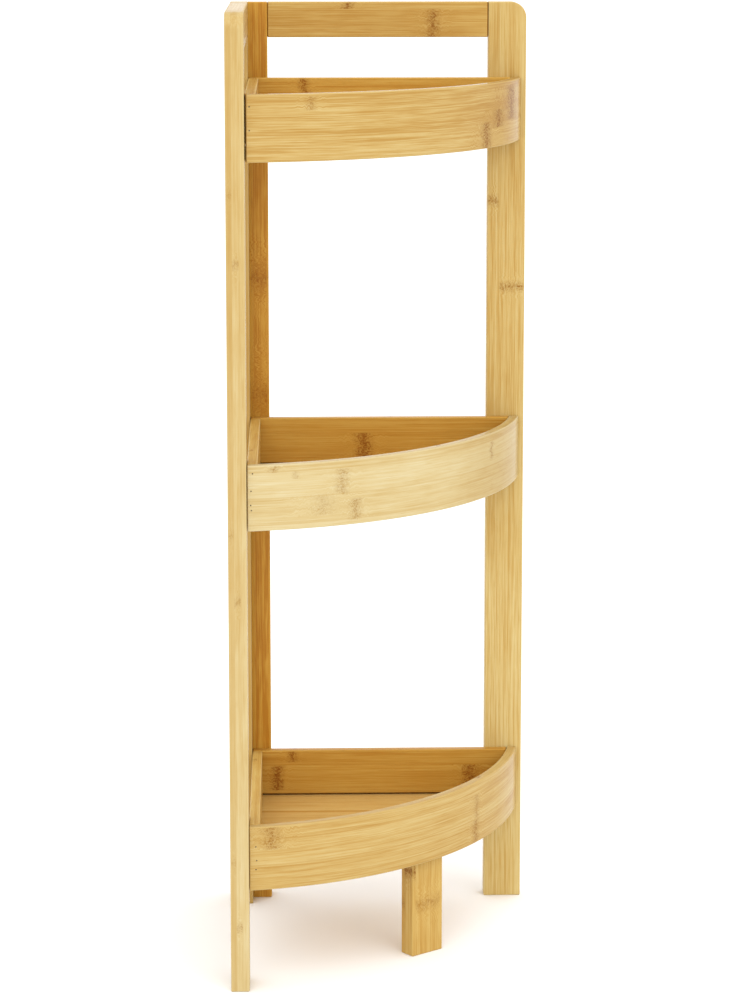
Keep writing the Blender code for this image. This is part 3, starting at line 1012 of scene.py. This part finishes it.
def build_back_uprights():
    """The back frame's corner strip and right upright."""
    looks = {
        "back_corner_upright": {
            "slot": "bamboo_tan", "tone": "tan", "seed": 21.0, "strip": 0.0055, "shift": 0.002,
            "contrast": 1.6, "streaks": 2.4, "blotches": 2.0, "tint": (1.02, 0.95, 0.7),
            "knuckles": [(0.5535, 0.009, 0.012, 0.018, 0.45), (0.452, 0.009, 0.012, 0.026, 0.4)],
        },
        "back_right_upright": {
            "slot": "bamboo_amber", "tone": "amber", "seed": 31.0, "strip": 0.0218, "shift": 0.0121,
            # Paler towards the foot: painted light from the floor
            "contrast": 0.3, "blotches": 0.35, "fade": (0.78, 0.15, (1.09, 1.18, 1.38)),
            "knuckles": [
                (0.546, 0.0215, 0.0108, 0.007, 0.62),
                (0.6205, 0.0045, 0.0055, 0.008, 0.6),
            ],
        },
    }
    for node, look in looks.items():
        low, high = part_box(node)
        right = node == "back_right_upright"
        # The corner strip is pressed against the left frame, so no daylight shows between them
        start = low.x if right else low.x - STRIP_PRESS
        shape = prism(upright_outline(start, high.x, right), low.y, high.y, back_place)
        round_edges(shape)
        if not right:
            # Its edge against the left frame is square, so the two close up without a groove
            reach = start + bpy.context.scene.caddy_timber.edge_round + NEAR
            for vertex in shape.verts:
                if vertex.co.x < reach:
                    vertex.co.x = start
        pocket = mortise(back_place, *pocket_span(low.x, high.x, not right), low.y, high.y)
        board(
            node, shape, lambda p: (p.z, p.x - low.x, p.y - low.y),
            (HEIGHT, high.x - low.x, STOCK), look, (pocket,))


def build_top_rails():
    """The two frames' top rails, with a stub tenon at each end."""
    looks = {
        "left_top_rail": {
            "slot": "bamboo_honey", "tone": "honey", "seed": 41.0, "strip": 0.017, "shift": 0.003,
            "dirt": (0.9, 0.0),
        },
        "back_top_rail": {
            "slot": "bamboo_amber", "tone": "gold", "seed": 51.0, "strip": 0.0238, "shift": 0.001,
            "contrast": 0.55, "blotches": 0.4, "dirt": (0.9, 0.0),
            "knuckles": [
                (0.141, 0.0115, 0.0125, 0.0095, 0.7),
                (0.0686, 0.0275, 0.0035, 0.008, 0.9),
            ],
        },
    }
    for node, look in looks.items():
        low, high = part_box(node)
        left = node == "left_top_rail"
        if left:
            place, direction = left_place, Vector((0, 1, 0))
            near, far = low.x, high.x
            start, end = low.y + TENON_LENGTH, high.y - TENON_LENGTH
        else:
            place, direction = back_place, Vector((1, 0, 0))
            near, far = low.y, high.y
            # Its shoulder closes up to the corner strip, so no daylight shows in the joint
            start, end = low.x + TENON_LENGTH - SHOULDER_PRESS, high.x - TENON_LENGTH
        outline = [(start, low.z), (end, low.z), (end, high.z), (start, high.z)]
        shape = prism(outline, near, far, place)
        round_edges(shape)
        add_tenon(shape, direction)
        add_tenon(shape, -direction)

        def grain(p):
            if left:
                return (p.y - start, p.z - low.z, high.x - p.x)
            return (p.x - start, p.z - low.z, p.y - low.y)

        board(node, shape, grain, (end - start, high.z - low.z, STOCK), look)


def arc_x(radius, y):
    """X where a circle about the curve's centre crosses a line of constant Y."""
    return CENTRE.x + math.sqrt(radius ** 2 - (y - CENTRE.y) ** 2)


def arc_y(radius, x):
    """Y where a circle about the curve's centre crosses a line of constant X."""
    return CENTRE.y - math.sqrt(radius ** 2 - (x - CENTRE.x) ** 2)


def arc_points(radius, left, rear, steps):
    """The arc from the line X = left, round the front, to the line Y = rear."""
    first = math.atan2(arc_y(radius, left) - CENTRE.y, left - CENTRE.x)
    last = math.atan2(rear - CENTRE.y, arc_x(radius, rear) - CENTRE.x)
    points = []
    for step in range(steps + 1):
        turn = first + (last - first) * step / steps
        points.append((CENTRE.x + radius * math.cos(turn), CENTRE.y + radius * math.sin(turn)))
    return points


def fitted_end(low, high, crossing):
    """An end that fits inside a curved rail: steps from low to high, with where the rail crosses."""
    points = []
    for step in range(END_STEPS + 1):
        place = low + (high - low) * step / END_STEPS
        points.append((place, crossing(CURVE_INNER - GAP, place)))
    return points


def band(outer, inner, low, high):
    """A curved rail as quads all round, from its outer and inner arcs."""
    shape = bmesh.new()
    rings = []
    for (ox, oy), (ix, iy) in zip(outer, inner):
        rings.append([
            shape.verts.new((ox, oy, low)), shape.verts.new((ox, oy, high)),
            shape.verts.new((ix, iy, high)), shape.verts.new((ix, iy, low)),
        ])
    for one, two in zip(rings, rings[1:]):
        for index in range(4):
            after = (index + 1) % 4
            shape.faces.new((one[index], one[after], two[after], two[index]))
    shape.faces.new(rings[0])
    shape.faces.new(rings[-1])
    bmesh.ops.recalc_face_normals(shape, faces=shape.faces)
    return shape


def build_back_rails():
    """The trays' back rails, whose right ends fit inside the curved rails."""
    looks = {
        "upper": {
            "seed": 61.0, "tint": (1.1, 1.16, 1.3),
            "knuckles": [(0.047, 0.0325, 0.0068, 0.0075, 0.85)],
        },
        "middle": {
            "seed": 62.0,
            "knuckles": [(0.0975, 0.0135, 0.0125, 0.0115, 1.0)],
        },
        "lower": {
            "seed": 63.0,
            "knuckles": [
                (0.0216, 0.0145, 0.0112, 0.0085, 1.0),
                (0.0348, 0.0335, 0.005, 0.007, 0.7),
                (0.1914, 0.0165, 0.0092, 0.011, 0.9),
            ],
        },
    }
    for level in LEVELS:
        node = level + "_tray_back_rail"
        low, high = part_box(node)
        end = [(x, y) for y, x in fitted_end(low.y, high.y, arc_x)]
        shape = prism([(low.x, low.y)] + end + [(low.x, high.y)], low.z, high.z, plan_place)
        round_edges(shape)
        look = {
            "slot": "bamboo_tan", "tone": "tan", "strip": 0.0262, "plies": 2, "dirt": (0.6, 0.0),
            **looks[level],
        }
        board(
            node, shape, lambda p: (p.x - low.x, p.z - low.z, p.y - low.y),
            (high.x - low.x, high.z - low.z, high.y - low.y), look)


def build_side_rails():
    """The trays' side rails, against the left frame."""
    for number, level in enumerate(LEVELS):
        node = level + "_tray_side_rail"
        low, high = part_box(node)
        end = fitted_end(low.x, high.x, arc_y)
        shape = prism([(low.x, high.y)] + end + [(high.x, high.y)], low.z, high.z, plan_place)
        round_edges(shape)
        look = {
            "slot": "bamboo_honey", "tone": "honey", "tint": (1.12, 1.07, 0.85),
            "seed": 71.0 + number * 3, "strip": 0.021, "shift": 0.006, "blotches": 0.6, "plies": 2,
            "dirt": (0.6, 0.0),
            "knuckles": [(0.05 + 0.07 * number, 0.025, 0.011, 0.007, 0.6)],
        }
        board(
            node, shape, lambda p: (p.y - low.y, p.z - low.z, high.x - p.x),
            (high.y - low.y, high.z - low.z, high.x - low.x), look)


def build_curved_rails():
    """The bent rails round the front of the trays."""
    looks = {
        "upper": {
            "slot": "bamboo_honey", "tone": "honey", "seed": 81.0, "strip": 0.0262, "shift": 0.0055,
            "streaks": 1.3, "sheen": 0.7, "fade": (0.2, 0.29, (0.88, 0.79, 0.54)),
            "knuckles": [
                (0.0523, 0.0455, 0.0055, 0.007, 0.45),
                (0.2445, 0.0105, 0.0115, 0.014, 0.8),
                (0.268, 0.0235, 0.0075, 0.018, 0.7),
                (0.303, 0.0345, 0.0145, 0.024, 0.8),
            ],
        },
        "middle": {
            "slot": "bamboo_pale", "tone": "pale", "seed": 86.0, "strip": 0.0212, "shift": 0.0163,
            "contrast": 0.3, "blotches": 0.4, "streaks": 0.55, "fade": (0.17, 0.27, (0.86, 0.78, 0.62)),
            "knuckles": [
                (0.0630, 0.0185, 0.0085, 0.016, 0.22),
                (0.0796, 0.036, 0.0105, 0.010, 0.4),
                (0.0915, 0.0125, 0.0088, 0.009, 0.45),
                (0.259, 0.0385, 0.0075, 0.006, 0.4),
                (0.0212, 0.0495, 0.003, 0.0065, 0.5),
                (0.0403, 0.044, 0.003, 0.0045, 0.4),
            ],
        },
        "lower": {
            "slot": "bamboo_honey", "tone": "honey", "seed": 89.0, "strip": 0.0212, "shift": 0.0003,
            "contrast": 0.3,
            "knuckles": [
                (0.0185, 0.043, 0.0095, 0.013, 0.55),
                (0.233, 0.0105, 0.0105, 0.009, 0.5),
                (0.2345, 0.032, 0.0105, 0.008, 0.35),
            ],
        },
    }
    # How much each rail's left end stands off the front upright, more or less than in the CAD
    end_gaps = {"upper": 0.0004, "middle": -0.0005, "lower": -0.0007}
    steps = bpy.context.scene.caddy_timber.arc_steps
    for level in LEVELS:
        node = level + "_tray_curved_rail"
        low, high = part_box(node)
        left = low.x + end_gaps[level]
        outer = arc_points(CURVE_RADIUS, left, high.y, steps)
        inner = arc_points(CURVE_INNER, left, high.y, steps)
        shape = band(outer, inner, low.z, high.z)
        round_edges(shape)
        first = math.atan2(outer[0][1] - CENTRE.y, outer[0][0] - CENTRE.x)
        last = math.atan2(outer[-1][1] - CENTRE.y, outer[-1][0] - CENTRE.x)
        length = (last - first) * CURVE_RADIUS

        def grain(p):
            reach = p - CENTRE
            turned_by = math.atan2(reach.y, reach.x) - first
            return (turned_by * CURVE_RADIUS, p.z - low.z, CURVE_RADIUS - math.hypot(reach.x, reach.y))

        look = {"plies": 2, "dirt": (0.6, 0.0), **looks[level]}
        board(node, shape, grain, (length, high.z - low.z, CURVE_THICKNESS), look)


def with_packing(shape, level, low, high):
    """The floor with a thin packing strip under the back and side rails, set in from their faces."""
    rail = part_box(level + "_tray_back_rail")[0].z
    clearance, strip, edge, short, root = 0.00005, 0.0025, 0.0004, 0.012, 0.002
    left, rear = low.x + edge, high.y - edge
    front, right = low.y + short, high.x - short
    outline = [
        (left, rear), (left, front), (left + strip, front),
        (left + strip, rear - strip), (right, rear - strip), (right, rear),
    ]
    packing = prism(outline, high.z - root, rail - clearance, plan_place)
    mesh = boolean(to_mesh(shape, "floor_blank"), packing, "floor_blank", "UNION")
    joined = bmesh.new()
    joined.from_mesh(mesh)
    return joined


def build_floors():
    """The trays' floors, each a laminated panel cut to the curve."""
    steps = bpy.context.scene.caddy_timber.arc_steps
    for number, level in enumerate(LEVELS):
        node = level + "_tray_floor"
        low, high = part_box(node)
        outline = arc_points(CURVE_INNER - GAP, low.x, high.y, steps) + [(low.x, high.y)]
        shape = prism(outline, low.z, high.z, plan_place)
        round_edges(shape)
        shape = with_packing(shape, level, low, high)
        look = {
            "slot": "bamboo_amber", "tone": "gold", "tint": (1.18, 1.16, 1.25),
            "seed": 91.0 + number * 4, "strip": 0.0563, "contrast": 0.5, "joints": 0.5,
            # The packing strip in the slot under the rails is painted dark, as shade
            "dirt": (0.0, 1.0), "seam": (1.0, 0.0026),
        }
        board(
            node, shape, lambda p: (p.x - low.x, high.y - p.y, high.z - p.z),
            (high.x - low.x, high.y - low.y, high.z - low.z), look)


def build_leg():
    """The short centre leg under the lowest tray."""
    node = "centre_leg"
    low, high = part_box(node)
    foot = Vector(((low.x + high.x) / 2, (low.y + high.y) / 2, 0))
    along = Vector((math.cos(LEG_TURN), math.sin(LEG_TURN), 0))
    outward = Vector((math.sin(LEG_TURN), -math.cos(LEG_TURN), 0))
    half, thick = UPRIGHT_WIDTH / 2, STOCK / 2

    def place(a, b, c):
        return foot + along * a + outward * b + Vector((0, 0, c))

    outline = [(-half, -thick), (half, -thick), (half, thick), (-half, thick)]
    shape = prism(outline, low.z, high.z, place)
    round_edges(shape)
    look = {
        "slot": "bamboo_amber", "tone": "gold", "seed": 97.0, "strip": 0.0225, "shift": 0.003,
        "blotches": 0.6,
        "knuckles": [
            (0.0445, 0.0165, 0.0135, 0.0105, 0.4),
            (0.073, 0.0, 0.0035, 0.009, 1.0, 0.011),
        ],
    }

    def grain(p):
        reach = p - foot
        return (p.z, reach.dot(along) + half, thick - reach.dot(outward))

    board(node, shape, grain, (high.z, UPRIGHT_WIDTH, STOCK), look)


# ---------------------------------------------------------------- fasteners

def screw_mesh(length):
    """A countersunk screw with a cross recess, its head's top at nought and its point along Z."""
    hardware = bpy.context.scene.caddy_hardware
    head, shank = hardware.screw_head, hardware.screw_shank
    shape = turned(
        [
            (0, 0), (head * 0.94, 0), (head, 0.00012), (head, 0.0004), (head * 0.96, 0.0006),
            (shank * 1.15, 0.0023), (shank, 0.0029),
            (shank, length - 2.4 * shank), (shank * 0.5, length - 0.8 * shank), (0, length),
        ],
        32)
    reach, half, depth = head * 0.58, head * 0.135, 0.0013
    plus = [
        (reach, -half), (reach, half), (half, half), (half, reach), (-half, reach), (-half, half),
        (-reach, half), (-reach, -half), (-half, -half), (-half, -reach), (half, -reach), (half, -half),
    ]

    def tapered(a, b, c):
        """The recess narrows towards its foot: its arms draw in more than their sides do."""
        if c > 0:
            a, b = (value * (0.45 if abs(value) > half * 1.1 else 0.7) for value in (a, b))
        return Vector((a, b, c))

    recess = prism(plus, -depth, depth, tapered)
    return boolean(to_mesh(shape, "screw_blank"), recess, "screw")


def brad_mesh(length):
    """A brad with a small flat head, its head at nought and its point along Z."""
    hardware = bpy.context.scene.caddy_hardware
    head = hardware.brad_head
    shape = turned(
        [
            (0, 0), (head * 0.7, 0.00003), (head, 0.0002), (head, 0.0005), (BRAD_SHANK, BRAD_SEAT),
            (BRAD_SHANK, length - 0.0016), (0, length),
        ],
        20)
    return to_mesh(shape, "brad")


def steel_grain(p):
    """Place on a fastener: out from its axis, down its length and round it."""
    return (math.hypot(p.x, p.y), p.z, math.atan2(p.y, p.x) * 0.001)


def build_fasteners(fasteners, blank, material):
    """Put a copy of the blank at each fastener's place."""
    blanks = {}
    for fastener in fasteners:
        length = round(fastener.length, 5)
        if length not in blanks:
            blanks[length] = blank(length)
            write_grain(blanks[length], steel_grain)
        mesh = blanks[length].copy()
        mesh.transform(fastener.matrix())
        mesh.name = fastener.node + "_steel"
        mesh.materials.clear()
        mesh.materials.append(material)
        mesh.shade_smooth()
        mesh.set_sharp_from_angle(angle=math.radians(35))
        made = to_object(mesh, fastener.node + "_steel")
        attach(made, "root")
        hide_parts(fastener.node)
    for spare in blanks.values():
        bpy.data.meshes.remove(spare)


# ---------------------------------------------------------------- stage

def floor_material(plain):
    """Matt studio paper, nearly white, with a faint tooth."""
    material, bench, shader = new_material("studio_floor")
    place = bench.node("TexCoord").outputs["Object"]
    cloud = bench.ramp(bench.noise(place, 2.0, 0.5, 2.0), 0.2, 0.8)
    shade = tinted(plain, (0.985, 0.985, 0.985))
    bench.feed(shader["Base Color"], bench.blend(cloud, (*plain, 1.0), (*shade, 1.0)))
    bench.feed(shader["Roughness"], bench.smudge(place, 3.0, 0.85, 0.95))
    tooth = bench.noise(place, 2.0, 0.5, 900.0)
    bench.feed(shader["Normal"], bench.bump(tooth, 0.00002))
    shader["Specular IOR Level"].default_value = 0.1
    return material


def build_floor():
    """A wide flat disc, finer towards its middle."""
    stage = bpy.context.scene.caddy_stage
    shape = bmesh.new()
    middle = shape.verts.new((0, 0, 0))
    rings = []
    for reach in (0.5, 2.0, 8.0, 30.0, stage.floor_radius):
        rings.append([shape.verts.new((x, y, 0)) for x, y in circle(reach, FLOOR_SIDES)])
    for side in range(FLOOR_SIDES):
        after = (side + 1) % FLOOR_SIDES
        shape.faces.new((middle, rings[0][side], rings[0][after]))
        for inner, outer in zip(rings, rings[1:]):
            shape.faces.new((inner[side], outer[side], outer[after], inner[after]))
    floor = to_object(to_mesh(shape, "studio_floor"), "studio_floor")
    floor.data.materials.append(floor_material(tuple(stage.floor_tone)))


def build_lights():
    """An even white room, and one broad soft light from the front right."""
    stage = bpy.context.scene.caddy_stage
    world = bpy.data.worlds.new("soft_room")
    world.use_nodes = True
    background = world.node_tree.nodes["Background"].inputs
    background["Color"].default_value = (1, 1, 1, 1)
    background["Strength"].default_value = stage.sky
    bpy.context.scene.world = world
    key = bpy.data.lights.new("key_light", "SUN")
    key.energy = stage.key
    key.angle = math.radians(70)
    made = to_object(key, "key_light")
    made.rotation_euler = (math.radians(50), 0, math.radians(14))


def build_camera():
    """The camera: in front of the caddy and a little higher, looking down at it."""
    stage = bpy.context.scene.caddy_stage
    data = bpy.data.cameras.new("camera")
    data.sensor_width = 36
    data.lens = stage.lens
    data.shift_y = -stage.camera_drop
    data.clip_end = 500
    camera = to_object(data, "camera")
    camera.location = stage.camera_place
    camera.rotation_euler = (math.pi / 2 - stage.camera_pitch, 0, -stage.camera_turn)
    bpy.context.scene.camera = camera


# ---------------------------------------------------------------- operators

class CADDY_OT_uprights(bpy.types.Operator):
    """Build the four uprights of the two frames"""

    bl_idname = "caddy.uprights"
    bl_label = "Uprights"

    def execute(self, context):
        build_left_uprights()
        build_back_uprights()
        return {"FINISHED"}


class CADDY_OT_top_rails(bpy.types.Operator):
    """Build the top rails that join each frame's uprights"""

    bl_idname = "caddy.top_rails"
    bl_label = "Top rails"

    def execute(self, context):
        build_top_rails()
        return {"FINISHED"}


class CADDY_OT_straight_rails(bpy.types.Operator):
    """Build the straight back and side rails of the trays"""

    bl_idname = "caddy.straight_rails"
    bl_label = "Straight tray rails"

    def execute(self, context):
        build_back_rails()
        build_side_rails()
        return {"FINISHED"}


class CADDY_OT_curved_rails(bpy.types.Operator):
    """Build the bent rails round the front of the trays"""

    bl_idname = "caddy.curved_rails"
    bl_label = "Curved rails"

    def execute(self, context):
        build_curved_rails()
        return {"FINISHED"}


class CADDY_OT_floors(bpy.types.Operator):
    """Build the floors of the trays"""

    bl_idname = "caddy.floors"
    bl_label = "Tray floors"

    def execute(self, context):
        build_floors()
        return {"FINISHED"}


class CADDY_OT_leg(bpy.types.Operator):
    """Build the short centre leg"""

    bl_idname = "caddy.leg"
    bl_label = "Centre leg"

    def execute(self, context):
        build_leg()
        return {"FINISHED"}


class CADDY_OT_screws(bpy.types.Operator):
    """Build the screws, with their cross recesses"""

    bl_idname = "caddy.screws"
    bl_label = "Screws"

    def execute(self, context):
        hardware = context.scene.caddy_hardware
        material = steel_material("screw_steel", tuple(hardware.steel), 0.3)
        build_fasteners([item for item in FASTENERS if item.is_screw], screw_mesh, material)
        return {"FINISHED"}


class CADDY_OT_brads(bpy.types.Operator):
    """Build the brads that pin the curved rails"""

    bl_idname = "caddy.brads"
    bl_label = "Brads"

    def execute(self, context):
        hardware = context.scene.caddy_hardware
        material = steel_material("brad_steel", tuple(hardware.brad_steel), 0.45)
        build_fasteners([item for item in FASTENERS if not item.is_screw], brad_mesh, material)
        return {"FINISHED"}


class CADDY_OT_stage(bpy.types.Operator):
    """Build the floor, the lights and the camera"""

    bl_idname = "caddy.stage"
    bl_label = "Stage"

    def execute(self, context):
        build_floor()
        build_lights()
        build_camera()
        return {"FINISHED"}


OPERATORS = (
    CADDY_OT_uprights,
    CADDY_OT_top_rails,
    CADDY_OT_straight_rails,
    CADDY_OT_curved_rails,
    CADDY_OT_floors,
    CADDY_OT_leg,
    CADDY_OT_screws,
    CADDY_OT_brads,
    CADDY_OT_stage,
)


class CADDY_PT_panel(bpy.types.Panel):
    """Sidebar panel that lists the caddy's settings and its pieces"""

    bl_idname = "CADDY_PT_panel"
    bl_label = "Corner caddy"
    bl_space_type = "VIEW_3D"
    bl_region_type = "UI"
    bl_category = "Caddy"

    def draw(self, context):
        layout = self.layout
        for group in SETTINGS:
            settings = getattr(context.scene, group)
            box = layout.box()
            for name in settings.__annotations__:
                box.prop(settings, name)
        for operator in OPERATORS:
            layout.operator(operator.bl_idname)


SETTINGS = {"caddy_timber": CaddyTimber, "caddy_hardware": CaddyHardware, "caddy_stage": CaddyStage}
CLASSES = (*SETTINGS.values(), *OPERATORS, CADDY_PT_panel)


def register():
    for item in CLASSES:
        bpy.utils.register_class(item)
    for name, item in SETTINGS.items():
        setattr(bpy.types.Scene, name, bpy.props.PointerProperty(type=item))


def unregister():
    for name in SETTINGS:
        delattr(bpy.types.Scene, name)
    for item in reversed(CLASSES):
        bpy.utils.unregister_class(item)


def main():
    register()
    bpy.context.scene.view_settings.view_transform = "Standard"
    bpy.ops.caddy.uprights()
    bpy.ops.caddy.top_rails()
    bpy.ops.caddy.straight_rails()
    bpy.ops.caddy.curved_rails()
    bpy.ops.caddy.floors()
    bpy.ops.caddy.leg()
    bpy.ops.caddy.screws()
    bpy.ops.caddy.brads()
    bpy.ops.caddy.stage()


if __name__ == "__main__":
    main()
